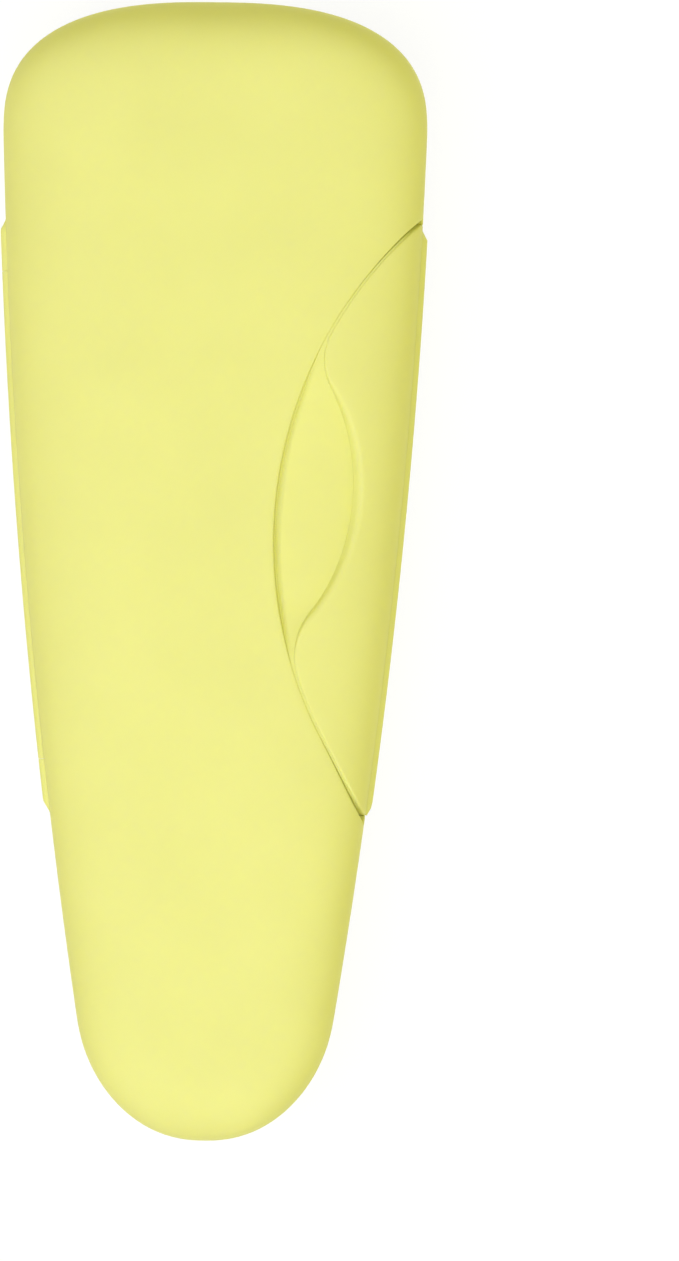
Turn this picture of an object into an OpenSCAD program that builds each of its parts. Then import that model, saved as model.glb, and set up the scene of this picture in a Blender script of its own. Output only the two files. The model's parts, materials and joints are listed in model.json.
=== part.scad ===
// Travel case for a razor, closed and lying on its back.
// X runs across, Y towards the wide end, Z up through the front shell. Millimetres.

/* [Case body] */
// Length of the closed case
case_l = 178; // [150:1:210]
// Width at the widest place, without the rails on the sides
body_w = 66.3; // [60:0.1:76]
// Width that the tapering sides reach where the narrow end closes
tip_w = 33.8; // [28:0.1:44]
// Bow of each side, outward from its straight chord
side_bow = 2.85; // [1.5:0.05:4]
// Length of the rounding at the wide end
wide_round = 20.3; // [15:0.1:27]
// Length of the rounding at the narrow end
tip_round = 19.2; // [14:0.1:26]
// Depth of the back shell below the parting plane
back_d = 17; // [14:0.5:22]
// Depth of the front shell at the wide end
front_d = 17; // [14:0.5:22]
// Depth that the front shell reaches at the narrow end
front_tip_d = 13; // [11:0.5:16]
// Wall of both shells
wall = 1.8; // [1.4:0.1:2.2]
// Height trimmed off the crown of the back, which leaves the flat it rests on
rest_trim = 0.4; // [0.2:0.1:0.8]
// Gap between the rims of the closed shells
rim_gap = 0.2; // [0.1:0.05:0.4]

/* [Roundness of the body] */
// Fullness of the outline at the wide end
wide_full = 2.6; // [2:0.1:3.4]
// Fullness of the outline at the narrow end
tip_full = 2.25; // [2:0.05:3]
// Fullness across the faces, higher is flatter
face_full = 4.5; // [3:0.1:6]
// Fullness down the sides, higher is squarer
flank_full = 2.5; // [2:0.1:3.2]

/* [Side wing] */
// Radius of the arc along which the wing meets the front shell
arc_r = 65.5; // [60:0.1:80]
// Place of the arc's centre to the right of the middle
arc_x = 75.7; // [72:0.1:84]
// Place of the arc's centre above the middle of the length
arc_y = 5.3; // [0:0.1:10]
// Angle below the arc's middle at which it runs on as a straight line
arc_foot = 28; // [24:2:34]
// Gap between the front shell's edge and the wing
arc_gap = 0.35; // [0.3:0.05:0.6]
// Depth to which the wing's wall and the ledge of its recess run into each other
wing_join = 0.3; // [0.2:0.1:0.8]
// Height of the wing's lower edge below its rail
skirt = 0.6; // [0.4:0.1:2]
// Depth of the tongue that enters the back shell
tongue_d = 3.6; // [2.5:0.1:5]
// Thickness of the tongue
tongue_t = 1.3; // [1:0.1:1.8]
// Play between the tongue and the back shell's wall
tongue_gap = 0.05; // [0.03:0.01:0.1]

/* [Thumb recess] */
// Radius of the recess edge in the wing
eye_r = 30.1; // [27:0.1:34]
// Centre of that edge across the case
eye_x = -6.9; // [-10:0.1:-4]
// Centre of that edge along the case
eye_y = 13.2; // [10:0.1:18]
// Radius of the upper horn of the wing
horn_upper_r = 8.3; // [5:0.1:10]
// Radius of the lower horn of the wing
horn_lower_r = 10; // [6:0.1:11]
// Thickness of the ledge that makes the recess floor
ledge_t = 1.3; // [1:0.1:1.8]
// Reach of the ledge under the front shell's edge
ledge_lap = 2.5; // [1.5:0.1:4]
// Play between the ledge and the front shell
ledge_gap = 0.3; // [0.3:0.05:0.5]

/* [Side rails and hinge] */
// Height of both rails above the body's sides
rail_proud = 0.85; // [0.5:0.05:1.1]
// Distance of the hinge rail's full height from the wide end
rail_start = 35.8; // [32:0.1:42]
// Distance of the hinge rail's other end from the wide end
rail_end = 125; // [115:0.1:130]
// Distance of the wing rail's full height from the wide end
wing_rail_start = 36.9; // [33:0.1:43]
// Distance of the wing rail's other end from the wide end
wing_rail_end = 125.5; // [115:0.1:130]
// Run of the slope at the upper end of each rail
rail_slope_upper = 1.5; // [0.8:0.1:3]
// Run of the slope at the lower end of each rail
rail_slope_lower = 1.9; // [0.8:0.1:3]
// Radius of the rail on the wing
rail_r = 1.8; // [1.5:0.1:2.2]
// Radius of the hinge barrel at its ends, which sets how deep its axis lies
barrel_r = 1.35; // [1.3:0.05:1.6]
// Length of each end knuckle on the back shell
knuckle_l = 6.5; // [5:0.5:12]
// Gap between the knuckles along the axis
knuckle_gap = 0.3; // [0.2:0.05:0.6]
// Clearance round a knuckle in the other shell
barrel_gap = 0.3; // [0.3:0.05:0.5]
// Radius of each hinge pin
pin_r = 0.6; // [0.5:0.05:0.7]
// Length of each hinge pin
pin_l = 9.4; // [8:0.1:12]
// Radial running clearance of the pins in the front shell
pin_gap = 0.05; // [0.03:0.01:0.1]

/* [Rim lip and snap] */
// Height of the lip that locates the front shell
lip_h = 1.5; // [1:0.1:2.5]
// Thickness of that lip
lip_t = 1; // [0.8:0.1:1.4]
// Play between the lip and the front shell's wall
lip_gap = 0.3; // [0.3:0.05:0.5]
// Radius of the snap bump on the lip at the narrow end
bump_r = 1; // [0.8:0.1:1.4]
// Height of the bump above the lip, less than the lip's play
bump_proud = 0.2; // [0.1:0.05:0.25]
// Clearance round the bump in its dimple
bump_gap = 0.3; // [0.25:0.05:0.5]

/* [Hidden] */

shell_colour = [0.93, 0.93, 0.55];
wing_colour = [0.9, 0.9, 0.5];
steel_colour = [0.75, 0.76, 0.78];

$fn = 96;
arc_sides = 180;
pin_sides = 48;
bump_sides = 32;
// Steps across half a cross-section, and those of the wing above and below the parting plane
half_steps = 22;
steps_above = 12;
steps_below = 3;
// Steps along each end and the side of the body, and round and along the rails
end_steps = 9;
side_steps = 16;
rail_sides = 16;
barrel_steps = 8;
// How much closer together the cross-sections stand towards the ends
end_crowding = 1.2;
// Overlap that joins the tongue to the wing
eps = 0.05;
// Reach of a horn's cut past the arc, and of a cut that clears the whole case
horn_reach = 2;
far = 300;

parting_z = back_d - rest_trim;
side_l = case_l - wide_round;
floor_drop = wall + ledge_gap;
wing_wall = floor_drop + wing_join;
// Angle of one step round the section, the same in all the walls so that they lie parallel
turn = 180 / half_steps;
seat_z = parting_z - rail_r - skirt;
arc_centre = [arc_x, arc_y];
eye_centre = [eye_x, eye_y];

// Y of a place that lies t from the wide end
function y_at(t) = case_l / 2 - t;

// Half width of the sides, a bowed taper from the wide rounding to the narrow end
function side_half(t) =
    let (s = max(0, t - wide_round) / side_l)
    body_w / 2 * (1 - s) + tip_w / 2 * s + 4 * side_bow * s * (1 - s);

// Share of the full size that an end rounding of length l leaves at distance d from the end
function end_share(d, l, p, q) = d >= l ? 1 : pow(max(0, 1 - pow(1 - d / l, p)), 1 / q);

// Both roundings together for a surface that lies inset below the skin
function both_ends(t, inset, wide_p, wide_q, tip_p, tip_q) =
    end_share(t - inset, wide_round - inset, wide_p, wide_q)
    * end_share(case_l - inset - t, tip_round - inset, tip_p, tip_q);

function half_w(t, inset = 0) =
    (side_half(t) - inset) * both_ends(t, inset, wide_full, wide_full, tip_full, tip_full);

function half_d(t, inset, d_wide, d_tip) =
    let (s = max(0, t - wide_round) / side_l)
    (d_wide - (d_wide - d_tip) * s * s - inset)
    * both_ends(t, inset, face_full, flank_full, face_full, flank_full);

// Share of an end's length at which its step k lies
function end_place(k) = pow(1 - cos(90 * k / end_steps), end_crowding);

// Places along the case where its cross-section is drawn, closer together at the ends
function stations(inset) = [
    for (k = [1:end_steps]) inset + (wide_round - inset) * end_place(k),
    for (k = [1:side_steps]) wide_round + (side_l - tip_round) * k / side_steps,
    for (k = [end_steps - 1:-1:1]) case_l - inset - (tip_round - inset) * end_place(k)
];

function signed_pow(v, p) = sign(v) * pow(abs(v), p);

// Point of the surface that lies inset below the skin, at angle a round the section at t
function surface_point(t, inset, a) =
    let (
        up = half_d(t, inset, front_d, front_tip_d),
        down = half_d(t, inset, back_d, back_d)
    )
    [
        half_w(t, inset) * signed_pow(cos(a), 2 / face_full),
        y_at(t),
        parting_z + (sin(a) > 0 ? up : down) * signed_pow(sin(a), 2 / flank_full)
    ];

// A closed skin through rings of n points each, drawn to a point at both ends
module skin(rings, n, first, last) {
    count = len(rings);
    faces = [
        for (k = [0:n - 1]) [0, 1 + k, 1 + (k + 1) % n],
        for (j = [0:count - 2], k = [0:n - 1])
            let (a = 1 + j * n + k, b = 1 + j * n + (k + 1) % n)
            each [[a, b + n, b], [a, a + n, b + n]],
        for (k = [0:n - 1])
            let (base = 1 + (count - 1) * n)
            [base + (k + 1) % n, base + k, count * n + 1]
    ];
    polyhedron([first, for (ring = rings) each ring, last], faces);
}

// The body's wall between two insets, from one step round the section to another
module body_wall(outer, inner, first, last) {
    outer_t = stations(outer);
    inner_t = stations(inner);
    count = len(outer_t);
    steps = last - first;
    n = 2 * (steps + 1);
    points = [
        [0, y_at(outer), parting_z],
        [0, y_at(inner), parting_z],
        for (j = [0:count - 1])
            each [
                for (k = [first:last]) surface_point(outer_t[j], outer, k * turn),
                for (k = [last:-1:first]) surface_point(inner_t[j], inner, k * turn)
            ],
        [0, y_at(case_l - outer), parting_z],
        [0, y_at(case_l - inner), parting_z]
    ];
    function at(j, k) = 2 + j * n + k % n;
    // Which end point a step of the ring is drawn to: the outer one or the inner one
    function pole(k) = k % n <= steps ? 0 : 1;
    faces = [
        for (j = [0:count - 2], k = [0:n - 1])
            each [
                [at(j, k), at(j + 1, k + 1), at(j, k + 1)],
                [at(j, k), at(j + 1, k), at(j + 1, k + 1)]
            ],
        for (k = [0:n - 1])
            each [
                [pole(k), at(0, k), at(0, k + 1)],
                if (pole(k) != pole(k + 1)) [pole(k), at(0, k + 1), pole(k + 1)]
            ],
        for (k = [0:n - 1])
            let (tail = 2 + count * n)
            each [
                [tail + pole(k), at(count - 1, k + 1), at(count - 1, k)],
                if (pole(k) != pole(k + 1))
                    [tail + pole(k), tail + pole(k + 1), at(count - 1, k + 1)]
            ]
    ];
    polyhedron(points, faces);
}

// The plan of the body at the parting plane, inset below its skin
module plan(inset) {
    places = stations(inset);
    last = len(places) - 1;
    polygon([
        [0, y_at(inset)],
        for (t = places) [half_w(t, inset), y_at(t)],
        [0, y_at(case_l - inset)],
        for (j = [last:-1:0]) [-half_w(places[j], inset), y_at(places[j])]
    ]);
}

// Everything between two heights, and between two distances from the wide end
module slab(z_low, z_high, t_from = -far, t_to = far) {
    translate([-far / 2, y_at(t_to), z_low])
        cube([far, t_to - t_from, z_high - z_low]);
}

// Where two circles cross, on the left or right of the line from p to q
function cross_point(p, r, q, s, side) =
    let (
        d = norm(q - p),
        along = (r * r - s * s + d * d) / (2 * d),
        u = (q - p) / d
    )
    p + along * u + side * sqrt(r * r - along * along) * [-u.y, u.x];

// The disc whose rim is the arc between the front shell and the wing, with its straight foot
module arc_disc(grow = 0) {
    reach = arc_r + grow;
    translate(arc_centre) {
        circle(r = reach, $fn = arc_sides);
        rotate(arc_foot) translate([-reach, -far]) square([reach, far]);
    }
}

// What the rounding of one horn takes off between the arc and the recess edge
module horn_cut(horn_r, side) {
    horn = cross_point(arc_centre, arc_r - horn_r, eye_centre, eye_r + horn_r, side);
    cusp = cross_point(arc_centre, arc_r, eye_centre, eye_r, side);
    from_arc = (horn - arc_centre) / norm(horn - arc_centre);
    from_eye = (horn - eye_centre) / norm(horn - eye_centre);
    beyond = (cusp - arc_centre) / norm(cusp - arc_centre) * (arc_r + horn_reach);
    difference() {
        polygon([
            horn,
            arc_centre + from_arc * (arc_r + horn_reach),
            arc_centre + beyond,
            eye_centre + from_eye * eye_r
        ]);
        translate(horn) circle(r = horn_r);
    }
}

// The wing's skin seen from the front
module wing_outline() {
    difference() {
        arc_disc();
        translate(eye_centre) circle(r = eye_r, $fn = arc_sides);
        horn_cut(horn_upper_r, -1);
        horn_cut(horn_lower_r, 1);
    }
}

// The ledge seen from the front: a band along the arc, wider below the recess
module ledge_outline() {
    difference() {
        arc_disc(ledge_lap);
        difference() {
            arc_disc(-wing_wall);
            translate(eye_centre) circle(r = eye_r + wing_wall, $fn = arc_sides);
        }
    }
}

// Hinge axis: from above the upper end of the rail to its lower end, in the parting plane
function axis_x(t) = -(half_w(t) + rail_proud - barrel_r);
hinge_from = [axis_x(rail_start), y_at(rail_start)];
hinge_to = [axis_x(rail_end), y_at(rail_end)];
hinge_l = norm(hinge_to - hinge_from);
hinge_turn = atan2(hinge_to.x - hinge_from.x, hinge_from.y - hinge_to.y);
hinge_slope = (hinge_to.x - hinge_from.x) / hinge_l;

// Distance from the wide end of a place s along the hinge axis
function hinge_t(s) = rail_start + s * cos(hinge_turn);

// Radius of the crowned barrel, so that it stands proud evenly along the bowed side
function crown(s) =
    (half_w(hinge_t(s)) + rail_proud + hinge_from.x + s * hinge_slope) * cos(hinge_turn);

// The same with the slopes at both ends of the rail, past which it lies flush in the side
function barrel_at(s) =
    crown(s) - rail_proud * min(1, max(0, -s / rail_slope_upper, (s - hinge_l) / rail_slope_lower));

// Puts a part drawn along +Z from its origin onto the hinge axis, running to the narrow end
module on_hinge(s = 0) {
    translate([hinge_from.x, hinge_from.y, parting_z])
        rotate([0, 0, hinge_turn])
            rotate([90, 0, 0])
                translate([0, 0, s])
                    children();
}

// A stretch of the barrel, grown by the clearance where it is cut from the other shell
module barrel(s_from, s_to, grow = 0) {
    breaks = [-rail_slope_upper, 0, hinge_l, hinge_l + rail_slope_lower];
    stops = concat(
        [s_from],
        [for (s = breaks) if (s > s_from && s < s_to) s],
        [s_to]
    );
    on_hinge()
        rotate_extrude()
            polygon([
                [0, s_from],
                for (j = [1:len(stops) - 1], k = [1:barrel_steps])
                    let (s = stops[j - 1] + (stops[j] - stops[j - 1]) * (k - 1) / barrel_steps)
                    [barrel_at(s) + grow, s],
                [barrel_at(s_to) + grow, s_to],
                [0, s_to]
            ]);
}

// The end knuckles taper out inside the wall, where the outline comes down to the axis
run_step = 0.5;
least_r = 0.1;
run_upper = max([for (s = [0:run_step:rail_start]) if (crown(-s) - rail_proud > least_r) s]);
run_lower = max([
    for (s = [0:run_step:tip_round]) if (crown(hinge_l + s) - rail_proud > least_r) s
]);

// Both stretches of the hinge that belong to the back shell
module end_stretches(grow = 0) {
    cut = min(grow, knuckle_gap);
    barrel(-run_upper - grow, knuckle_l + cut, grow);
    barrel(hinge_l - knuckle_l - cut, hinge_l + run_lower + grow, grow);
}

pin_in_knuckle = pin_l / 2 - knuckle_gap / 2;
pin_upper_s = knuckle_l - pin_in_knuckle;
pin_lower_s = hinge_l - knuckle_l + pin_in_knuckle - pin_l;

// Both pins, or the bores that take them
module pin(s, grow = 0, lengthen = 0) {
    on_hinge(s - lengthen)
        cylinder(r = pin_r + grow, h = pin_l + 2 * lengthen, $fn = pin_sides);
}

// The rail on the wing: a round bead along the side, sloped down at both ends
module rail() {
    t_first = wing_rail_start - rail_slope_upper;
    t_last = wing_rail_end + rail_slope_lower;
    places = [
        t_first,
        for (k = [0:side_steps])
            wing_rail_start + (wing_rail_end - wing_rail_start) * k / side_steps,
        t_last
    ];
    function bead_r(t) =
        t < wing_rail_start || t > wing_rail_end ? rail_r - rail_proud : rail_r;
    function bead_x(t) = half_w(t) + rail_proud - rail_r;
    rings = [for (t = places)
        [for (k = [0:rail_sides - 1])
            let (a = 360 * k / rail_sides)
            [bead_x(t) + bead_r(t) * cos(a), y_at(t), parting_z + bead_r(t) * sin(a)]]];
    skin(
        rings,
        rail_sides,
        [bead_x(t_first), y_at(t_first), parting_z],
        [bead_x(t_last), y_at(t_last), parting_z]
    );
}

// Lip inside the rim at both ends of the case, clear of the hinge and the wing
lip_inset = wall + lip_gap;
lip_root = 3;
lip_wide_t = rail_start - run_upper;
lip_tip_t = rail_end + ledge_lap + run_lower;

module lip() {
    for (span = [[0, lip_wide_t], [lip_tip_t, case_l]])
        intersection() {
            union() {
                translate([0, 0, parting_z - lip_root])
                    linear_extrude(lip_root + lip_h)
                        difference() {
                            plan(lip_inset);
                            plan(lip_inset + lip_t);
                        }
                translate([0, 0, parting_z - lip_root])
                    linear_extrude(lip_root - rim_gap)
                        difference() {
                            plan(wall / 2);
                            plan(lip_inset + lip_t);
                        }
            }
            slab(0, far, span[0], span[1]);
        }
}

// Snap bump on the lip at the narrow end, and its dimple in the front shell
module bump(grow = 0) {
    translate([0, y_at(case_l - lip_inset) - bump_proud + bump_r, parting_z + lip_h / 2])
        sphere(r = bump_r + grow, $fn = bump_sides);
}

module back_shell() {
    color(shell_colour)
        difference() {
            union() {
                difference() {
                    intersection() {
                        body_wall(0, wall, half_steps, 2 * half_steps);
                        slab(0, far);
                    }
                    barrel(knuckle_l, hinge_l - knuckle_l, barrel_gap);
                    translate([0, 0, seat_z])
                        linear_extrude(far) arc_disc();
                }
                end_stretches();
                lip();
                bump();
            }
            pin(pin_upper_s);
            pin(pin_lower_s);
        }
}

module front_shell() {
    color(shell_colour)
        difference() {
            union() {
                difference() {
                    intersection() {
                        body_wall(0, wall, 0, half_steps);
                        slab(parting_z + rim_gap, far);
                    }
                    end_stretches(barrel_gap);
                    linear_extrude(far) arc_disc(arc_gap);
                    bump(bump_gap);
                }
                barrel(knuckle_l + knuckle_gap, hinge_l - knuckle_l - knuckle_gap);
            }
            pin(pin_upper_s, pin_gap, knuckle_gap);
            pin(pin_lower_s, pin_gap, knuckle_gap);
        }
}

module side_wing() {
    color(wing_colour) {
        intersection() {
            body_wall(0, wing_wall, -steps_below, steps_above);
            translate([0, 0, seat_z]) linear_extrude(far) wing_outline();
        }
        intersection() {
            body_wall(floor_drop, floor_drop + ledge_t, -steps_below, steps_above);
            translate([0, 0, seat_z]) linear_extrude(far) ledge_outline();
        }
        intersection() {
            body_wall(wall + tongue_gap, wall + tongue_gap + tongue_t, -steps_below, 0);
            translate([0, 0, seat_z - tongue_d])
                linear_extrude(tongue_d + eps) arc_disc(-tongue_t);
        }
        intersection() {
            rail();
            linear_extrude(far) arc_disc();
        }
    }
}

module hinge_pin_upper() {
    color(steel_colour) pin(pin_upper_s);
}

module hinge_pin_lower() {
    color(steel_colour) pin(pin_lower_s);
}

back_shell();
front_shell();
side_wing();
hinge_pin_upper();
hinge_pin_lower();
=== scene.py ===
import json
import math

import bmesh
import bpy
import numpy as np
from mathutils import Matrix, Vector


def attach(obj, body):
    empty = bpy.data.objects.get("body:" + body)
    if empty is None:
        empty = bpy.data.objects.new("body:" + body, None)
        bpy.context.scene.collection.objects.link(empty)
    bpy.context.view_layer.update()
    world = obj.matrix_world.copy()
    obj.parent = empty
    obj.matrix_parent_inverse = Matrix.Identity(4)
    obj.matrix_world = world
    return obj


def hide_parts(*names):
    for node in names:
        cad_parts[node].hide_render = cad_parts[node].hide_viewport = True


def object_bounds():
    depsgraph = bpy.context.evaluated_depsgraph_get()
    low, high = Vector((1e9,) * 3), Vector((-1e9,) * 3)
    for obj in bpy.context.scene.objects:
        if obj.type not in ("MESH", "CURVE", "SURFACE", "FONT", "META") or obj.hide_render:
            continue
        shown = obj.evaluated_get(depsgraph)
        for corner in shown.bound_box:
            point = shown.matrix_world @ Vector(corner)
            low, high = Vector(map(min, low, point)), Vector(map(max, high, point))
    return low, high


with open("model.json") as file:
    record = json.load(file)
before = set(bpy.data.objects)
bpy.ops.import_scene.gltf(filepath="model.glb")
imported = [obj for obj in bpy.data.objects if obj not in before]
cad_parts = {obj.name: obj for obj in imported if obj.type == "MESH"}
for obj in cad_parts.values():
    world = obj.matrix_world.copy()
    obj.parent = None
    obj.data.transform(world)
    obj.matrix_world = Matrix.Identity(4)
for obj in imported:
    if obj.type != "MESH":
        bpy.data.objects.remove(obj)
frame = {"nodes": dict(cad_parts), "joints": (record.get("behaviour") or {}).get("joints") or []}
cad_low, cad_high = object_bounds()

# The back shell is the deep half that lies at the back, moulded in pale yellow plastic with an
# even wall. In plan it tapers from a wide rounded end to a narrow one. Its rim carries the
# locating lip and the snap bump, and the two end knuckles of the hinge stand at its left side.
case_l = cad_high.y - cad_low.y
body_w = 0.0663
tip_w = 0.0338
side_bow = 0.00285
wide_round = 0.0203
tip_round = 0.0192
side_l = case_l - wide_round
back_d = 0.017
front_d = 0.017
front_tip_d = 0.013
wall = 0.0018
rim_gap = 0.0002
wide_full = 2.6
tip_full = 2.25
face_full = 4.5
flank_full = 2.5
hinge = frame["joints"][0]
hinge_at = Vector(hinge["pos_m"])
hinge_way = Vector(hinge["axis"])
parting_z = hinge_at.z


def end_share(d, length, p, q):
    """Share of the full size that an end rounding leaves at distance d from the end."""
    near = np.clip(1 - d / length, 0, 1)
    return (1 - near**p) ** (1 / q)


def half_width(t, inset=0.0):
    """Half width at distance t from the wide end, for a surface inset below the skin."""
    s = np.maximum(0, t - wide_round) / side_l
    side = body_w / 2 * (1 - s) + tip_w / 2 * s + 4 * side_bow * s * (1 - s) - inset
    wide_end = end_share(t - inset, wide_round - inset, wide_full, wide_full)
    return side * wide_end * end_share(case_l - inset - t, tip_round - inset, tip_full, tip_full)


def half_depth(t, deep, deep_at_tip, inset):
    """Depth of one half of the case, measured from the parting plane."""
    s = np.maximum(0, t - wide_round) / side_l
    full = deep - (deep - deep_at_tip) * s**2 - inset
    wide_end = end_share(t - inset, wide_round - inset, face_full, flank_full)
    return full * wide_end * end_share(case_l - inset - t, tip_round - inset, face_full, flank_full)


def front_depth(t, inset=0.0):
    """Depth of the front half, which gets flatter towards the tip."""
    return half_depth(t, front_d, front_tip_d, inset)


def back_depth(t, inset=0.0):
    """Depth of the back half."""
    return half_depth(t, back_d, back_d, inset)


# A quarter of the section, walked from the parting plane (0) to the crown (1) at an even pace
walk_points = 4001
walk_pace = 2.5
across = 1 - np.linspace(0, 1, walk_points) ** walk_pace
height = (1 - across**face_full) ** (1 / flank_full)
paces = np.hypot(np.diff(across) * body_w / 2, np.diff(height) * back_d)
quarter = np.concatenate([[0], np.cumsum(paces)])
quarter_l = quarter[-1]
quarter = quarter / quarter_l


def places_of(x, y, z):
    """A grid of points from coordinates that may each be a grid, a row or a column."""
    return np.stack(np.broadcast_arrays(x, y, z), axis=-1)


def skin(t, c, half=1, inset=0.0):
    """Points of the skin at distance t from the wide end.

    c runs round the section: 0 on the crown, and 1 and -1 in the parting plane, right and left.
    """
    f = 1 - np.abs(c)
    facing = half * np.sign(f)
    deep = np.where(facing > 0, front_depth(t, inset), back_depth(t, inset))
    x = np.sign(c) * half_width(t, inset) * np.interp(np.abs(f), quarter, across)
    z = parting_z + facing * deep * np.interp(np.abs(f), quarter, height)
    return places_of(x, case_l / 2 - t, z)


def foot_c(rise, deep):
    """Where round the section the skin stands a given rise off the parting plane."""
    return 1 - np.interp(np.minimum(rise / deep, 1), height, quarter)


weld_reach = 2e-7


def lay_sheet(name, places):
    """An outward facing grid on rows of points. A row that shrinks to a point is closed."""
    rows, columns = places.shape[:2]
    bpy.ops.object.select_all(action="DESELECT")
    bpy.ops.mesh.primitive_grid_add(x_subdivisions=columns - 1, y_subdivisions=rows - 1, size=1)
    sheet = bpy.context.active_object
    sheet.name = name
    sheet.data.vertices.foreach_set("co", places.reshape(-1))
    bpy.ops.object.mode_set(mode="EDIT")
    bpy.ops.mesh.select_all(action="SELECT")
    bpy.ops.mesh.remove_doubles(threshold=weld_reach)
    bpy.ops.object.mode_set(mode="OBJECT")
    middle = Vector((0, 0, parting_z))
    outward = sum(p.normal.dot(p.center - middle) * p.area for p in sheet.data.polygons)
    if outward < 0:
        sheet.data.flip_normals()
    return sheet


rim_turns = 5
inner_round = 0.0003


def rim_out(v, normal):
    """Direction in which a sheet would run on past a point of its rim."""
    beside = [e.other_vert(v) for e in v.link_edges if e.is_boundary]
    within = [e.other_vert(v) for e in v.link_edges if not e.is_boundary] or beside
    out = (beside[0].co - beside[1].co).normalized().cross(normal).normalized()
    away = v.co - sum((w.co for w in within), Vector()) / len(within)
    return -out if out.dot(away) < 0 else out


def rim_curve(place, out, normal, thickness, reach, drop):
    """Points over a wall's rim, from its rounded outer edge to its slightly rounded inner one."""
    small = min(reach, thickness / 3, inner_round)
    curve = []
    for k in range(1, rim_turns + 1):
        turn = math.pi / 2 * k / rim_turns
        curve.append(place + out * reach * math.sin(turn) - normal * drop * (1 - math.cos(turn)))
    for k in range(rim_turns):
        turn = math.pi / 2 * k / (rim_turns - 1)
        past = reach - small * (1 - math.cos(turn))
        below = thickness - small * (1 - math.sin(turn))
        curve.append(place + out * past - normal * below)
    return curve


def give_wall(sheet, thickness, rounding):
    """Thickens a sheet inwards and rounds its rim over. The sheet ends short of the real edge.

    The rounding is its reach, or a function that gives its reach and depth at a place of the rim.
    """
    shape = bmesh.new()
    shape.from_mesh(sheet.data)
    shape.normal_update()
    faces = list(shape.faces)
    rim_edges = [e for e in shape.edges if e.is_boundary]
    normals = {v: v.normal.copy() for v in shape.verts}
    inner = {v: shape.verts.new(v.co - n * thickness) for v, n in normals.items()}
    chains = {}
    for v in dict.fromkeys(v for e in rim_edges for v in e.verts):
        reach, drop = rounding(v.co) if callable(rounding) else (rounding, rounding)
        curve = rim_curve(v.co, rim_out(v, normals[v]), normals[v], thickness, reach, drop)
        chains[v] = [v] + [shape.verts.new(place) for place in curve] + [inner[v]]
    for f in faces:
        shape.faces.new([inner[v] for v in reversed(f.verts)])
    for e in rim_edges:
        loop = e.link_loops[0]
        a, b = chains[loop.vert], chains[loop.link_loop_next.vert]
        for k in range(len(a) - 1):
            shape.faces.new([b[k], a[k], a[k + 1], b[k + 1]])
    shape.to_mesh(sheet.data)
    shape.free()
    return sheet


smooth_up_to = math.radians(38)


def join(name, parts):
    """Makes one moulding of several meshes, shaded smooth except at its sharp corners."""
    bpy.ops.object.select_all(action="DESELECT")
    for part in parts:
        part.select_set(True)
    bpy.context.view_layer.objects.active = parts[0]
    bpy.ops.object.join()
    moulding = bpy.context.active_object
    moulding.name = name
    bpy.ops.object.shade_smooth_by_angle(angle=smooth_up_to)
    return moulding


def make_of(material, *pieces):
    """Gives pieces this material in place of what they had."""
    for piece in pieces:
        piece.data.materials.clear()
        piece.data.materials.append(material)


# The hinge's barrel is a rail with sloped ends that stands proud of the left side
rail_proud = 0.00085
rail_start = 0.0358
rail_end = 0.125
rail_slope_upper = 0.0015
rail_slope_lower = 0.0019
knuckle_l = 0.0065
knuckle_gap = 0.00005
knuckle_run = 0.0085
knuckle_round = 0.0001
knuckle_rows = 40
barrel_gap = 0.0003
barrel_sides = 48
barrel_weld = 1e-6
bore_r = 0.00066
bore_l = 0.0052
face_clear = 0.00015
hinge_l = (rail_end - rail_start) / abs(hinge_way.y)


def hinge_t(s):
    """Distance from the wide end of a place s along the hinge axis."""
    return rail_start + s * abs(hinge_way.y)


def hinge_s(t):
    """Place along the hinge axis at distance t from the wide end."""
    return (t - rail_start) / abs(hinge_way.y)


def rail_slope(s):
    """How far the rail has sloped down at s: 0 along it, and 1 past its ends."""
    return np.clip(np.maximum(-s / rail_slope_upper, (s - hinge_l) / rail_slope_lower), 0, 1)


def barrel_radius(s):
    """Radius of the barrel, which follows the bowed side and slopes down to it at both ends."""
    crown = (half_width(hinge_t(s)) + rail_proud + hinge_at.x + s * hinge_way.x) * abs(hinge_way.y)
    return crown - rail_proud * rail_slope(s)


def turn_on_hinge(name, profile):
    """A body turned round the hinge axis, from pairs of distance along the axis and radius."""
    line = bpy.data.meshes.new(name)
    places = [hinge_at + hinge_way * s + Vector((0, 0, r)) for s, r in profile]
    line.from_pydata(places, [(k, k + 1) for k in range(len(profile) - 1)], [])
    turned = bpy.data.objects.new(name, line)
    bpy.context.scene.collection.objects.link(turned)
    bpy.ops.object.select_all(action="DESELECT")
    turned.select_set(True)
    bpy.context.view_layer.objects.active = turned
    bpy.ops.object.mode_set(mode="EDIT")
    bpy.ops.mesh.select_all(action="SELECT")
    bpy.ops.mesh.spin(steps=barrel_sides, angle=2 * math.pi, center=hinge_at, axis=hinge_way)
    bpy.ops.mesh.select_all(action="SELECT")
    bpy.ops.mesh.remove_doubles(threshold=barrel_weld)
    bpy.ops.mesh.normals_make_consistent(inside=False)
    bpy.ops.object.mode_set(mode="OBJECT")
    return turned


def bored_end(s, into):
    """Profile of a knuckle's end face at s, from the bottom of the pin's bore out to the barrel."""
    r = barrel_radius(s)
    profile = [(s + into * bore_l, 0.0), (s + into * bore_l, bore_r), (s, bore_r)]
    for turn in np.linspace(0, math.pi / 2, rim_turns):
        behind_face = knuckle_round * (1 - math.cos(turn))
        profile.append((s + into * behind_face, r - knuckle_round * (1 - math.sin(turn))))
    return profile


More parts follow.
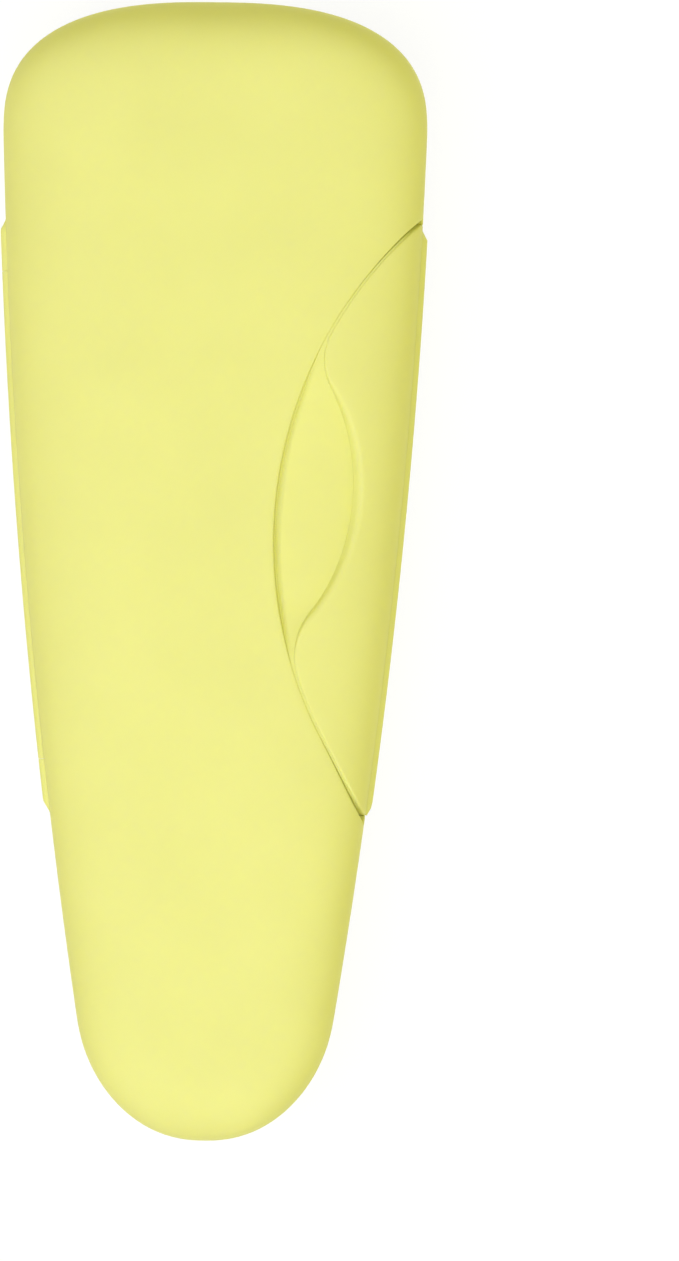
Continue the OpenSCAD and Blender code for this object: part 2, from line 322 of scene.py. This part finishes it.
def end_knuckle(name, near, far):
    """A knuckle of the back shell: bored at its near face, and drawn out to nothing in the wall."""
    into = math.copysign(1, far - near)
    profile = bored_end(near, into)
    for s in np.linspace(near + into * face_clear, far, knuckle_rows):
        profile.append((s, max(knuckle_round, barrel_radius(s))))
    return turn_on_hinge(name, profile + [(far + into * knuckle_round, 0.0)])


# The back shell's right rim is cut down where the side wing sits, between the ends of the arc
arc_r = 0.0655
arc_x = 0.0757
arc_y = 0.0053
arc_foot = math.radians(28)
seat_z = 0.0142
upper_zone = (0.022, 0.06)
lower_zone = (0.1, 0.15)
halvings = 60


def arc_edge(t, grow=0.0):
    """How far right the front shell may reach at t: along an arc, and straight on at its foot."""
    y = case_l / 2 - t - arc_y
    r = arc_r + grow
    bend = np.sqrt(np.maximum(r**2 - y**2, 0))
    straight = (r + math.sin(arc_foot) * y) / math.cos(arc_foot)
    return arc_x - np.where(y < -r * math.sin(arc_foot), straight, bend)


def crossing(edge, zone, c=1.0):
    """Distance from the wide end at which an edge runs out through the skin at c, within a zone."""

    def past_skin(t):
        """How far the edge lies right of the skin."""
        return edge(t) - skin(t, c)[..., 0]

    low, high = zone
    rising = past_skin(high) > past_skin(low)
    for _ in range(halvings):
        middle = (low + high) / 2
        if (past_skin(middle) > 0) == rising:
            high = middle
        else:
            low = middle
    return (low + high) / 2


wing_top = crossing(arc_edge, upper_zone)
wing_foot = crossing(arc_edge, lower_zone)


def end_places(length, fullness, count):
    """Distances from an end, spaced evenly along its rounded outline."""
    turn = np.linspace(0, math.pi / 2, count + 1)
    return length * (1 - np.cos(turn) ** (2 / fullness))


def first_share(rise, deep):
    """Share of the end rounding after which the skin stands that rise off the parting plane."""
    return 1 - (1 - (rise / deep) ** flank_full) ** (1 / face_full)


step_half = 0.00012


def with_steps(places, steps):
    """The same places with a close pair added at each step, and nothing else near it."""
    kept = [t for t in places if all(abs(t - step) > 4 * step_half for step in steps)]
    return np.array(sorted(kept + [step + side * step_half for step in steps for side in (-1, 1)]))


back_round = 0.00035
end_rows = 34
middle_rows = 124
back_columns = 110
cut_share = 0.1
wide_places = end_places(wide_round, wide_full, end_rows)
tip_places = case_l - end_places(tip_round, tip_full, end_rows)[::-1]
middle_places = np.linspace(wide_round, case_l - tip_round, middle_rows)[1:-1]
barrel_top, barrel_foot = hinge_t(knuckle_l), hinge_t(hinge_l - knuckle_l)
back_t = np.concatenate([wide_places, middle_places, tip_places])
back_t = with_steps(back_t, [wing_top, wing_foot, barrel_top, barrel_foot])
back_t[0] = wide_round * first_share(back_round, back_d)
back_t[-1] = case_l - tip_round * first_share(back_round, back_d)
back_t = back_t[:, None]


def cut_down(depth, first, last):
    """How far round the section the rim is cut down between two places, for each row."""
    drop = np.where((back_t > first) & (back_t < last), depth, 0) + back_round
    return rim_c - foot_c(drop, back_depth(back_t))


# Only the columns near a rim follow its steps, so that the flank's faces stay even
rim_c = foot_c(back_round, back_depth(back_t))
left_cut = cut_down(barrel_radius(hinge_s(back_t)) + barrel_gap, barrel_top, barrel_foot)
right_cut = cut_down(parting_z - seat_z, wing_top, wing_foot)
column = np.linspace(0, 1, back_columns + 1)[None, :]
by_left = np.maximum(1 - column / cut_share, 0)
by_right = np.maximum(1 - (1 - column) / cut_share, 0)
back_c = rim_c * (2 * column - 1) + left_cut * by_left - right_cut * by_right
back_places = skin(back_t, back_c, half=-1)
back_places[..., 2] = np.maximum(back_places[..., 2], 0)
back_wall = give_wall(lay_sheet("back_wall", back_places), wall, back_round)

# The lip stands round both ends inside the rim, on a root that fills the room out to the wall
lip_inset = 0.0021
lip_t = 0.001
lip_h = 0.0015
lip_root_h = 0.003
lip_low = parting_z - lip_root_h
lip_round = 0.0003
lip_clear = 0.0025
root_inset = 0.0009
root_t = 0.00214
lip_wide_t = rail_start - knuckle_run
lip_tip_t = case_l - (rail_end + lip_clear + knuckle_run)
strip_points = 121
strip_levels = 8
round_part = 0.625


def end_outline(inset, reach, wide_end):
    """Distances t and sides x of an outline round one end, from its left side to its right."""
    turn = np.linspace(-1, 1, strip_points)
    length, fullness = (wide_round, wide_full) if wide_end else (tip_round, tip_full)
    bend = np.minimum(np.abs(turn) / round_part, 1) * math.pi / 2
    rounded = (length - inset) * (1 - np.cos(bend) ** (2 / fullness))
    beyond = np.maximum(np.abs(turn) - round_part, 0) / (1 - round_part)
    d = inset + rounded + (reach - length) * beyond
    t = d if wide_end else case_l - d
    return t, np.sign(turn) * half_width(t, inset)


def rim_strip(name, outline, low, high, thickness):
    """An upright strip along an outline."""
    t, x = outline
    levels = np.linspace(low, high, strip_levels)[None, :]
    places = places_of(x[:, None], case_l / 2 - t[:, None], levels)
    return give_wall(lay_sheet(name, places), thickness, lip_round)


lips = []
for end, reach in (("wide", lip_wide_t), ("tip", lip_tip_t)):
    lip_line = end_outline(lip_inset, reach, end == "wide")
    root_line = end_outline(root_inset, reach, end == "wide")
    lip_top = parting_z + lip_h - lip_round
    root_top = parting_z - rim_gap - lip_round
    lips.append(rim_strip(end + "_lip", lip_line, lip_low, lip_top, lip_t))
    lips.append(rim_strip(end + "_root", root_line, lip_low + lip_round, root_top, root_t))

bump_r = 0.001
bump_proud = 0.0002
bump_sides = 32
bump_rings = 16
bump_at = (0, -case_l / 2 + lip_inset - bump_proud + bump_r, parting_z + lip_h / 2)
bpy.ops.object.select_all(action="DESELECT")
bpy.ops.mesh.primitive_uv_sphere_add(
    segments=bump_sides, ring_count=bump_rings, radius=bump_r, location=bump_at
)
snap_bump = bpy.context.active_object
bpy.ops.object.transform_apply(location=True)

upper_knuckle = end_knuckle("upper_knuckle", knuckle_l, -knuckle_run)
lower_knuckle = end_knuckle("lower_knuckle", hinge_l - knuckle_l, hinge_l + knuckle_run)
back_half = join("back_half", [back_wall, upper_knuckle, lower_knuckle, snap_bump] + lips)


def add_noise(tree, vector, scale, detail):
    """Noise over a piece, as a socket."""
    noise = tree.nodes.new("ShaderNodeTexNoise")
    noise.inputs["Scale"].default_value = scale
    noise.inputs["Detail"].default_value = detail
    tree.links.new(vector, noise.inputs["Vector"])
    return noise.outputs["Fac"]


def add_ramp(tree, share, low, high, first=0.0, last=1.0):
    """A colour that goes from low to high as the share goes from first to last, as a socket."""
    ramp = tree.nodes.new("ShaderNodeValToRGB")
    for stop, position, colour in zip(ramp.color_ramp.elements, (first, last), (low, high)):
        stop.position = position
        stop.color = (*colour, 1)
    tree.links.new(share, ramp.inputs["Fac"])
    return ramp.outputs["Color"]


def add_range(tree, share, low, high):
    """A value that goes from low to high with the share, as a socket."""
    reach = tree.nodes.new("ShaderNodeMapRange")
    reach.inputs["To Min"].default_value = low
    reach.inputs["To Max"].default_value = high
    tree.links.new(share, reach.inputs["Value"])
    return reach.outputs["Result"]


def add_bump(tree, relief, strength, distance):
    """A bump that raises a surface by the relief."""
    bump = tree.nodes.new("ShaderNodeBump")
    bump.inputs["Strength"].default_value = strength
    bump.inputs["Distance"].default_value = distance
    tree.links.new(relief, bump.inputs["Height"])
    return bump


def satin_plastic(name, colour):
    """Satin moulded plastic: faint clouds of tone, a fine grain and slow waves of the moulding."""
    material = bpy.data.materials.new(name)
    material.use_nodes = True
    tree = material.node_tree
    shader = tree.nodes["Principled BSDF"]
    place = tree.nodes.new("ShaderNodeTexCoord").outputs["Object"]
    clouds = add_noise(tree, place, scale=55, detail=3)
    grain = add_noise(tree, place, scale=2600, detail=2)
    waves = add_noise(tree, place, scale=38, detail=1)
    clouded = [c * 0.965 for c in colour]
    tone = add_ramp(tree, clouds, clouded, colour, first=0.3, last=0.7)
    tree.links.new(tone, shader.inputs["Base Color"])
    tree.links.new(add_range(tree, grain, low=0.44, high=0.54), shader.inputs["Roughness"])
    wavy = add_bump(tree, waves, strength=0.25, distance=0.0006)
    grained = add_bump(tree, grain, strength=0.12, distance=0.00003)
    tree.links.new(wavy.outputs["Normal"], grained.inputs["Normal"])
    tree.links.new(grained.outputs["Normal"], shader.inputs["Normal"])
    shader.inputs["IOR"].default_value = 1.49
    shader.inputs["Specular IOR Level"].default_value = 0.05
    shader.inputs["Subsurface Weight"].default_value = 0.4
    shader.inputs["Subsurface Radius"].default_value = (1.0, 0.9, 0.25)
    shader.inputs["Subsurface Scale"].default_value = 0.0003
    return material


case_plastic = satin_plastic("case_plastic_satin", (0.86, 0.855, 0.265))
make_of(case_plastic, back_half)
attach(back_half, "base")
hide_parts("back_shell")

# The hinge pins are two short pieces of drawn steel wire, pressed into the end knuckles of the
# back shell. The front shell's long knuckle turns on them. They keep the shapes of the solids.


def drawn_steel(name):
    """Bright steel wire with fine draw lines along it."""
    material = bpy.data.materials.new(name)
    material.use_nodes = True
    tree = material.node_tree
    shader = tree.nodes["Principled BSDF"]
    stretch = tree.nodes.new("ShaderNodeMapping")
    stretch.inputs["Scale"].default_value = (9000, 500, 9000)
    place = tree.nodes.new("ShaderNodeTexCoord").outputs["Object"]
    tree.links.new(place, stretch.inputs["Vector"])
    lines = add_noise(tree, stretch.outputs["Vector"], scale=1, detail=2)
    tone = add_ramp(tree, lines, (0.5, 0.51, 0.53), (0.66, 0.67, 0.69))
    tree.links.new(tone, shader.inputs["Base Color"])
    tree.links.new(add_range(tree, lines, low=0.22, high=0.38), shader.inputs["Roughness"])
    shader.inputs["Metallic"].default_value = 1
    return material


pin_steel = drawn_steel("pin_steel_drawn")
make_of(pin_steel, frame["nodes"]["hinge_pin_upper"], frame["nodes"]["hinge_pin_lower"])

# The side wing is the panel between the arc and the right side, moulded in the same plastic. Its
# wavy edge leaves a thumb recess, floored by a sheet on a ledge that reaches under the front
# shell. A tongue below it is pressed into the back shell, and a rail runs along its side.
recess_r = 0.0301
recess_centre = Vector((-0.0069, 0.0132))
recess_round = 0.0009
arc_centre = Vector((arc_x, arc_y))
arc_gap = 0.00035
arc_round = 0.0004
arc_depth = 0.00028
blend_l = 0.009
horn_upper_r = 0.0083
horn_lower_r = 0.01
wing_wall = 0.0024


def horn_centre(horn_r, side):
    """Centre of the circle that rounds a corner, or horn, between the recess and the arc.

    side is 1 for the upper horn and -1 for the lower one.
    """
    far = recess_centre - arc_centre
    reach, other = arc_r - horn_r, recess_r + horn_r
    along = (reach**2 - other**2 + far.length**2) / (2 * far.length)
    aside = math.sqrt(reach**2 - along**2)
    unit = far / far.length
    return arc_centre + unit * along + Vector((unit.y, -unit.x)) * aside * side


def touch_y(horn, other, reach):
    """How far up the case a horn's circle passes over into that of the arc or of the recess."""
    return (other + (horn - other).normalized() * reach).y


upper_horn = horn_centre(horn_upper_r, 1)
lower_horn = horn_centre(horn_lower_r, -1)
upper_arc_y = touch_y(upper_horn, arc_centre, arc_r)
upper_recess_y = touch_y(upper_horn, recess_centre, recess_r)
lower_recess_y = touch_y(lower_horn, recess_centre, recess_r)
lower_arc_y = touch_y(lower_horn, arc_centre, arc_r)


def eased_between(place, first, last, run):
    """Rises softly from 0 to 1 over a run past the first place, and falls so before the last."""
    rise = np.clip((place - first) / run, 0, 1) * np.clip((last - place) / run, 0, 1)
    return rise * rise * (3 - 2 * rise)


def wing_round(y):
    """Rounding of the wing's edge: small along the arc, and full along the thumb recess."""
    in_recess = eased_between(y, lower_horn.y, upper_horn.y, blend_l)
    return arc_round + (recess_round - arc_round) * in_recess


def wing_edge(t):
    """How far left the wing reaches at t, less the rounding of its edge."""
    y = case_l / 2 - t
    r = wing_round(y)
    bend = np.sqrt(np.maximum((recess_r + r) ** 2 - (y - recess_centre.y) ** 2, 0))
    at_recess = (y >= lower_recess_y) & (y <= upper_recess_y)
    edge = np.where(at_recess, recess_centre.x + bend, arc_edge(t, -r))
    for horn, horn_r, low_y, high_y in (
        (upper_horn, horn_upper_r, upper_recess_y, upper_arc_y),
        (lower_horn, horn_lower_r, lower_arc_y, lower_recess_y),
    ):
        bend = np.sqrt(np.maximum((horn_r - r) ** 2 - (y - horn.y) ** 2, 0))
        edge = np.where((y > low_y) & (y < high_y), horn.x - bend, edge)
    return edge


def side_c(share):
    """Where round the front half the skin has come out to a share of its half width."""
    return 1 - np.interp(np.minimum(share, 1), across[::-1], quarter[::-1])


cut_points = 3000
cut_pace = 3


def cut_line(edge, first, last):
    """Where an edge crosses the skin, as t and the way round the section, close at its ends."""
    u = np.linspace(0, 1, cut_points) ** cut_pace * (last - first) / 2
    t = np.concatenate([first + u, last - u[-2::-1]])
    return np.stack([t, side_c(edge(t) / half_width(t)) * quarter_l], axis=1)


def run_along(line):
    """Distance along a line at each of its points."""
    return np.concatenate([[0], np.cumsum(np.hypot(*np.diff(line, axis=0).T))])


def evenly(line, count):
    """The same line through count + 1 points, evenly spaced."""
    gone = run_along(line)
    to = np.linspace(0, gone[-1], count + 1)
    return np.stack([np.interp(to, gone, line[:, 0]), np.interp(to, gone, line[:, 1])], axis=1)


net_rounds = 1800


def stretch_net(left, right, first, last):
    """A net between four sides, drawn tight until its threads run evenly and without a fold."""
    share = np.linspace(0, 1, len(first))[None, :, None]
    net = left[:, None, :] * (1 - share) + right[:, None, :] * share
    net[0], net[-1] = first, last
    for _ in range(net_rounds):
        down = (net[2:, 1:-1] - net[:-2, 1:-1]) / 2
        over = (net[1:-1, 2:] - net[1:-1, :-2]) / 2
        twist = (net[2:, 2:] - net[:-2, 2:] - net[2:, :-2] + net[:-2, :-2]) / 2
        a = (over**2).sum(axis=-1, keepdims=True)
        b = (down * over).sum(axis=-1, keepdims=True)
        g = (down**2).sum(axis=-1, keepdims=True)
        pull = a * (net[2:, 1:-1] + net[:-2, 1:-1]) + g * (net[1:-1, 2:] + net[1:-1, :-2])
        net[1:-1, 1:-1] = (pull - b * twist) / (2 * (a + g))
    return net


def wing_arc(t):
    """The arc, less the rounding of the wing's edge along it."""
    return arc_edge(t, -arc_round)


# The net lies between the seat, the two rising ends of the wing's edge, and the rest of that edge
end_rise = 0.0052
wing_rows = 116
wing_columns = 34
wing_first = crossing(wing_arc, upper_zone)
wing_last = crossing(wing_arc, lower_zone)
edge_line = cut_line(wing_edge, wing_first, wing_last)
edge_run = run_along(edge_line)
up_first = edge_line[edge_run <= end_rise]
up_last = edge_line[edge_run >= edge_run[-1] - end_rise]
top_side = edge_line[(edge_run >= end_rise) & (edge_run <= edge_run[-1] - end_rise)]
top_side = np.concatenate([up_first[-1:], top_side, up_last[:1]])
seat_way = (2 - foot_c(parting_z - seat_z - arc_round, back_d)) * quarter_l
seat_first = np.array([[wing_first, seat_way]])
seat_last = np.array([[wing_last, seat_way]])
wing_net = stretch_net(
    evenly(np.concatenate([seat_first, seat_last]), wing_rows),
    evenly(top_side, wing_rows),
    evenly(np.concatenate([seat_first, up_first]), wing_columns),
    evenly(np.concatenate([up_last, seat_last])[::-1], wing_columns),
)
small_rim_z = parting_z + 0.004


def wing_rim(place):
    """Reach and depth of the rounding at a place on the wing's rim."""
    r = arc_round if place.z < small_rim_z else float(wing_round(place.y))
    return r, arc_depth + (recess_round - arc_depth) * (r - arc_round) / (recess_round - arc_round)


wing_skin = lay_sheet("wing_skin", skin(wing_net[..., 0], wing_net[..., 1] / quarter_l))
give_wall(wing_skin, wing_wall, wing_rim)

# The ledge reaches from under the front shell to under the wing, or to under the recess's floor
ledge_inset = 0.0021
ledge_t = 0.0013
ledge_lap = 0.0025
ledge_round = 0.0002
ledge_back = 0.0007
ledge_half_rows = 70
ledge_columns = 31
seat_lap = 0.0003
floor_lap = 0.0006
scoop_l = 0.012
horn_top = case_l / 2 - upper_arc_y
horn_foot = case_l / 2 - lower_arc_y


def recess_share(t):
    """How far the floor has dipped from the groove's depth at the horns to that of the recess."""
    return eased_between(t, horn_top, horn_foot, scoop_l)


def ledge_outer(t):
    """The ledge's left edge, under the front shell."""
    return arc_edge(t, ledge_lap)


def ledge_inner(t):
    """The ledge's right edge, under the wing or under the floor of the recess."""
    return arc_edge(t, -wing_wall + (wing_wall - floor_lap) * recess_share(t))


def ledge_c(edge):
    """Where round the section one of the ledge's edges lies, or its lowest part past the side."""
    share = edge(ledge_rows) / half_width(ledge_rows, ledge_inset)
    lowest = 2 - foot_c(parting_z - seat_z - seat_lap, back_d - ledge_inset)
    return np.where(share >= 1, lowest, side_c(share))


ledge_top = crossing(ledge_outer, upper_zone) + ledge_back
ledge_foot = crossing(ledge_outer, lower_zone) - ledge_back
ledge_pace = np.linspace(0, 1, ledge_half_rows) ** 2 * (ledge_foot - ledge_top) / 2
ledge_rows = np.concatenate([ledge_top + ledge_pace, ledge_foot - ledge_pace[-2::-1]])[:, None]
column = np.linspace(0, 1, ledge_columns)[None, :]
ledge_left = ledge_c(ledge_outer)
ledge_right = ledge_c(ledge_inner)
ledge_across = ledge_left + (ledge_right - ledge_left) * column
ledge_sheet = lay_sheet("ledge", skin(ledge_rows, ledge_across, inset=ledge_inset))
ledge = give_wall(ledge_sheet, ledge_t, ledge_round)

# One sheet floors the groove and the recess: deeper at both ends, with a fillet beside the arc
groove_inset = 0.00032
groove_end_inset = 0.00055
groove_fall = 0.01
groove_back = 0.0009
floor_t = 0.0012
floor_rim = 0.00004
floor_rise = 0.0001
floor_reach = arc_gap - 0.00001
floor_under = 0.00012
floor_columns = 25
floor_row_count = 260
fillet_w = 0.0012
fillet_h = 0.0007
floor_top = wing_first + groove_back
floor_foot = wing_last - groove_back
floor_rows = np.linspace(floor_top, floor_foot, floor_row_count)[:, None]
from_end = np.minimum(floor_rows - wing_first, wing_last - floor_rows)
near_end = 1 - np.clip(from_end / groove_fall, 0, 1)
dip = recess_share(floor_rows)
floor_inset = groove_inset + (groove_end_inset - groove_inset) * near_end**2
floor_inset = floor_inset + (ledge_inset - floor_rise - groove_inset) * dip
wing_side = wing_edge(floor_rows) - wing_round(case_l / 2 - floor_rows) + floor_under
floor_left = side_c(arc_edge(floor_rows, floor_reach) / half_width(floor_rows, floor_inset))
floor_right = side_c(wing_side / half_width(floor_rows, floor_inset))
column = (1 - np.cos(np.linspace(0, math.pi, floor_columns)))[None, :] / 2
floor_c = floor_left + (floor_right - floor_left) * column
beside_arc = (floor_c - floor_left) * quarter_l / fillet_w
fillet = fillet_h * dip * (1 - np.minimum(beside_arc, 1)) ** 2
floor_sheet = lay_sheet("groove_floor", skin(floor_rows, floor_c, inset=floor_inset - fillet))
groove_floor = give_wall(floor_sheet, floor_t, floor_rim)

tongue_inset = 0.00185
tongue_t = 0.0013
tongue_d = 0.0036
tongue_lap = 0.0006
tongue_round = 0.0003
tongue_row_count = 90
tongue_level_count = 8
tongue_rows = np.linspace(wing_first + tongue_t, wing_last - tongue_t, tongue_row_count)[:, None]
tongue_top = parting_z - seat_z - tongue_lap
tongue_low = parting_z - seat_z + tongue_d - tongue_round
tongue_levels = np.linspace(tongue_top, tongue_low, tongue_level_count)[None, :]
tongue_c = 2 - foot_c(tongue_levels, back_depth(tongue_rows, tongue_inset))
tongue = lay_sheet("tongue", skin(tongue_rows, tongue_c, inset=tongue_inset))
give_wall(tongue, tongue_t, tongue_round)

# The rail is a bead along the wing's side that slopes down at both ends and runs on to the arc
wing_rail_start = 0.0369
wing_rail_end = 0.1255
rail_half = 0.0021
rail_wall = 0.001
rail_sunk = 0.00004
rail_rim = 0.0001
rail_zone = (wing_rail_end - 0.002, wing_rail_end + 0.004)
rail_columns = 41
rail_row_count = 90
slope_row_count = 8
close_rows = np.array([1.004, 1.008, 1.012])
rail_w = np.linspace(-rail_half, rail_half, rail_columns)
swell = (1 + np.cos(math.pi * rail_w / rail_half)) / 2


def rail_x(t):
    """Outer face of the rail at each column: a bead whose edges sink into the wing's side."""
    deep = np.where(rail_w > 0, front_depth(t), back_depth(t))
    side = skin(t, foot_c(abs(rail_w), deep))[..., 0]
    upper = (t - wing_rail_start + rail_slope_upper) / rail_slope_upper
    lower = (wing_rail_end + rail_slope_lower - t) / rail_slope_lower
    full = np.clip(np.minimum(upper, lower), 0, 1)
    return side + rail_proud * swell * full - rail_sunk * (1 - swell)


rail_near = np.full(rail_columns, rail_zone[0])
rail_far = np.full(rail_columns, rail_zone[1])
for _ in range(halvings):
    rail_mid = (rail_near + rail_far) / 2
    inside = rail_x(rail_mid) > wing_arc(rail_mid)
    rail_near = np.where(inside, rail_mid, rail_near)
    rail_far = np.where(inside, rail_far, rail_mid)
rail_top = wing_rail_start - rail_slope_upper
rail_l = wing_rail_end - rail_top
slope_rows = np.linspace(0, rail_slope_upper, slope_row_count)[:-1]
even_rows = np.linspace(rail_slope_upper, rail_l, rail_row_count)
rail_rows = np.concatenate([slope_rows, even_rows, rail_l * close_rows])
rail_rows = (rail_rows / rail_rows[-1])[:, None]
rail_t = rail_top + (rail_near - rail_top) * rail_rows
rail_places = places_of(rail_x(rail_t), case_l / 2 - rail_t, parting_z + rail_w)
rail = give_wall(lay_sheet("rail", rail_places), rail_wall, rail_rim)

side_wing = join("wing", [wing_skin, ledge, groove_floor, tongue, rail])
make_of(case_plastic, side_wing)
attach(side_wing, "base")
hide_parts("side_wing")

# The front shell is the lid and the large face of the case, moulded in the same plastic. Its right
# edge is the long arc, which clears the wing. It turns on the pins at its left side, where the
# long middle knuckle of the hinge is moulded on.
lid_round = 0.0004
arc_soft = 0.001
arc_drop = 0.0003
soften_l = 0.012
lid_rise = rim_gap + lid_round
lid_columns = 104
rim_slack = 0.0001
barrel_from = knuckle_l + knuckle_gap
barrel_to = hinge_l - knuckle_l - knuckle_gap


def lid_rounding(t):
    """Rounding of the lid's edge along the arc, which gets smaller towards both ends."""
    near = np.clip(np.minimum(t - wing_top, wing_foot - t) / soften_l, 0, 1)
    return lid_round + (arc_soft - lid_round) * near * (2 - near)


def lid_edge(t):
    """How far right the lid reaches at t, less the rounding of its edge."""
    return arc_edge(t, arc_gap + lid_rounding(t))


def lid_rim(place):
    """Reach and depth of the rounding at a place on the lid's rim."""
    if place.x < 0 or place.z < parting_z + lid_rise + rim_slack:
        return lid_round, lid_round
    r = float(lid_rounding(case_l / 2 - place.y))
    return r, lid_round + (arc_drop - lid_round) * (r - lid_round) / (arc_soft - lid_round)


def lid_left(t):
    """The lid's left rim: down on the barrel, and lifted clear of the end knuckles."""
    s = hinge_s(t)
    r = barrel_radius(s)
    side = r - rail_proud * (1 - rail_slope(s))
    clear = np.sqrt(np.maximum((np.maximum(r, 0) + barrel_gap) ** 2 - side**2, 0))
    by_upper = (s > -knuckle_run) & (s < barrel_from)
    by_lower = (s > barrel_to) & (s < hinge_l + knuckle_run)
    rise = np.where(by_upper | by_lower, np.maximum(clear, rim_gap), rim_gap) + lid_round
    return -foot_c(rise, front_depth(t))


def lid_right(t):
    """The lid's right rim, where it isn't the arc."""
    return foot_c(lid_rise, front_depth(t))


def lid_foot_line(first, last, rows):
    """The lid's right rim between two places, as t and the way round the section."""
    t = np.linspace(first, last, rows + 1)
    return np.stack([t, lid_right(t) * quarter_l], axis=1)


def straight_row(t):
    """A row of the lid straight across, from its left rim to its right."""
    c = np.linspace(lid_left(t), lid_right(t), lid_columns + 1) * quarter_l
    return np.stack([np.full(lid_columns + 1, t), c], axis=1)


# A net from side to side follows the arc between the two ends, which have straight rows
rows_above = 12
rows_along = 92
rows_below = 26
net_end = case_l - tip_round
lid_foot_c = float(foot_c(lid_rise, front_d))
lid_top = crossing(lid_edge, upper_zone, lid_foot_c)
lid_foot = crossing(lid_edge, lower_zone, lid_foot_c)
above_arc = lid_foot_line(wide_round, lid_top, rows_above)[:-1]
along_arc = evenly(cut_line(lid_edge, lid_top, lid_foot), rows_along)
below_arc = lid_foot_line(lid_foot, net_end, rows_below)[1:]
right_side = np.concatenate([above_arc, along_arc, below_arc])
left_t = np.linspace(wide_round, net_end, len(right_side))
left_side = np.stack([left_t, lid_left(left_t) * quarter_l], axis=1)
middle_net = stretch_net(left_side, right_side, straight_row(wide_round), straight_row(net_end))
lid_first = wide_round * first_share(lid_rise, front_d)
lid_last = case_l - tip_round * first_share(lid_rise, front_tip_d)
wide_net = [straight_row(t) for t in (lid_first, *wide_places[1:-1])]
tip_net = [straight_row(t) for t in (*tip_places[1:-1], lid_last)]
lid_net = np.concatenate([wide_net, middle_net, tip_net])
lid_wall = lay_sheet("lid_wall", skin(lid_net[..., 0], lid_net[..., 1] / quarter_l))
give_wall(lid_wall, wall, lid_rim)

barrel_rows = 90
barrel_profile = bored_end(barrel_from, 1)
for s in np.linspace(barrel_from + face_clear, barrel_to - face_clear, barrel_rows):
    barrel_profile.append((s, barrel_radius(s)))
barrel = turn_on_hinge("barrel", barrel_profile + bored_end(barrel_to, -1)[::-1])

front_lid = join("front_lid", [lid_wall, barrel])
make_of(case_plastic, front_lid)
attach(front_lid, "lid")
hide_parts("front_shell")

# The case lies on a plain white table in an even white room, under a large soft lamp at its lower
# left and a faint one at its right. The camera looks straight down on the face through a long
# lens, as a catalogue picture is taken.


def shows_white(tree, shader, share, colour, strength):
    """Lets the camera and mirror-like surfaces see plain white in place of most of a shader."""
    ray = tree.nodes.new("ShaderNodeLightPath")
    seen = ray.outputs["Is Camera Ray"]
    for way in ("Is Glossy Ray", "Is Transmission Ray"):
        either = tree.nodes.new("ShaderNodeMath")
        either.operation = "MAXIMUM"
        tree.links.new(seen, either.inputs[0])
        tree.links.new(ray.outputs[way], either.inputs[1])
        seen = either.outputs["Value"]
    part = tree.nodes.new("ShaderNodeMath")
    part.operation = "MULTIPLY"
    part.inputs[1].default_value = share
    glow = "ShaderNodeEmission" if tree.type == "SHADER" else "ShaderNodeBackground"
    white = tree.nodes.new(glow)
    white.inputs["Color"].default_value = colour
    white.inputs["Strength"].default_value = strength
    mix = tree.nodes.new("ShaderNodeMixShader")
    tree.links.new(seen, part.inputs[0])
    tree.links.new(part.outputs["Value"], mix.inputs["Fac"])
    tree.links.new(shader.outputs[0], mix.inputs[1])
    tree.links.new(white.outputs[0], mix.inputs[2])
    return mix.outputs[0]


table_size = 6
table_low = 0.0001
bpy.ops.object.select_all(action="DESELECT")
bpy.ops.mesh.primitive_plane_add(size=table_size, location=(0, 0, -table_low))
table = bpy.context.active_object
table.name = "table"
table_white = bpy.data.materials.new("table_white")
table_white.use_nodes = True
table_tree = table_white.node_tree
paint = table_tree.nodes["Principled BSDF"]
paint.inputs["Base Color"].default_value = (0.9, 0.88, 0.5, 1)
paint.inputs["Roughness"].default_value = 0.9
table_shown = shows_white(table_tree, paint, 0.8, (0.95, 0.955, 1.0, 1), 1.14)
table_tree.links.new(table_shown, table_tree.nodes["Material Output"].inputs["Surface"])
table.data.materials.append(table_white)

room = bpy.data.worlds.new("room")
bpy.context.scene.world = room
room.use_nodes = True
room_tree = room.node_tree
sky = room_tree.nodes["Background"]
sky.inputs["Color"].default_value = (1.0, 0.965, 0.48, 1)
sky.inputs["Strength"].default_value = 0.51
room_shown = shows_white(room_tree, sky, 1.0, (1, 1, 1, 1), 1.0)
room_tree.links.new(room_shown, room_tree.nodes["World Output"].inputs["Surface"])

lamp_size = 0.8
for name, lamp_at, tint, energy in (
    ("soft_lamp", Vector((-0.2, -0.3, 1.07)), (0.61, 0.625, 1.0), 12.0),
    ("side_lamp", Vector((1.0, 0.0, 0.6)), (1.0, 0.97, 0.5), 1.1),
):
    light = bpy.data.lights.new(name, "AREA")
    light.shape = "SQUARE"
    light.size = lamp_size
    light.color = tint
    light.energy = energy
    lamp = bpy.data.objects.new(name, light)
    lamp.location = lamp_at
    lamp.rotation_euler = (-lamp_at).to_track_quat("-Z", "Y").to_euler()
    bpy.context.scene.collection.objects.link(lamp)

aim = Vector((0.0203, -0.009, parting_z))
camera_turn = math.radians(0.654)
camera_far = 3.5
frame_l = 0.1972
sensor_w = 36
lens = bpy.data.cameras.new("long_lens")
lens.sensor_width = sensor_w
lens.lens = sensor_w * camera_far / frame_l
camera = bpy.data.objects.new("camera", lens)
camera.location = aim + Vector((0, 0, camera_far))
camera.rotation_euler = (0, 0, camera_turn)
bpy.context.scene.collection.objects.link(camera)
bpy.context.scene.camera = camera
bpy.context.scene.view_settings.view_transform = "Standard"
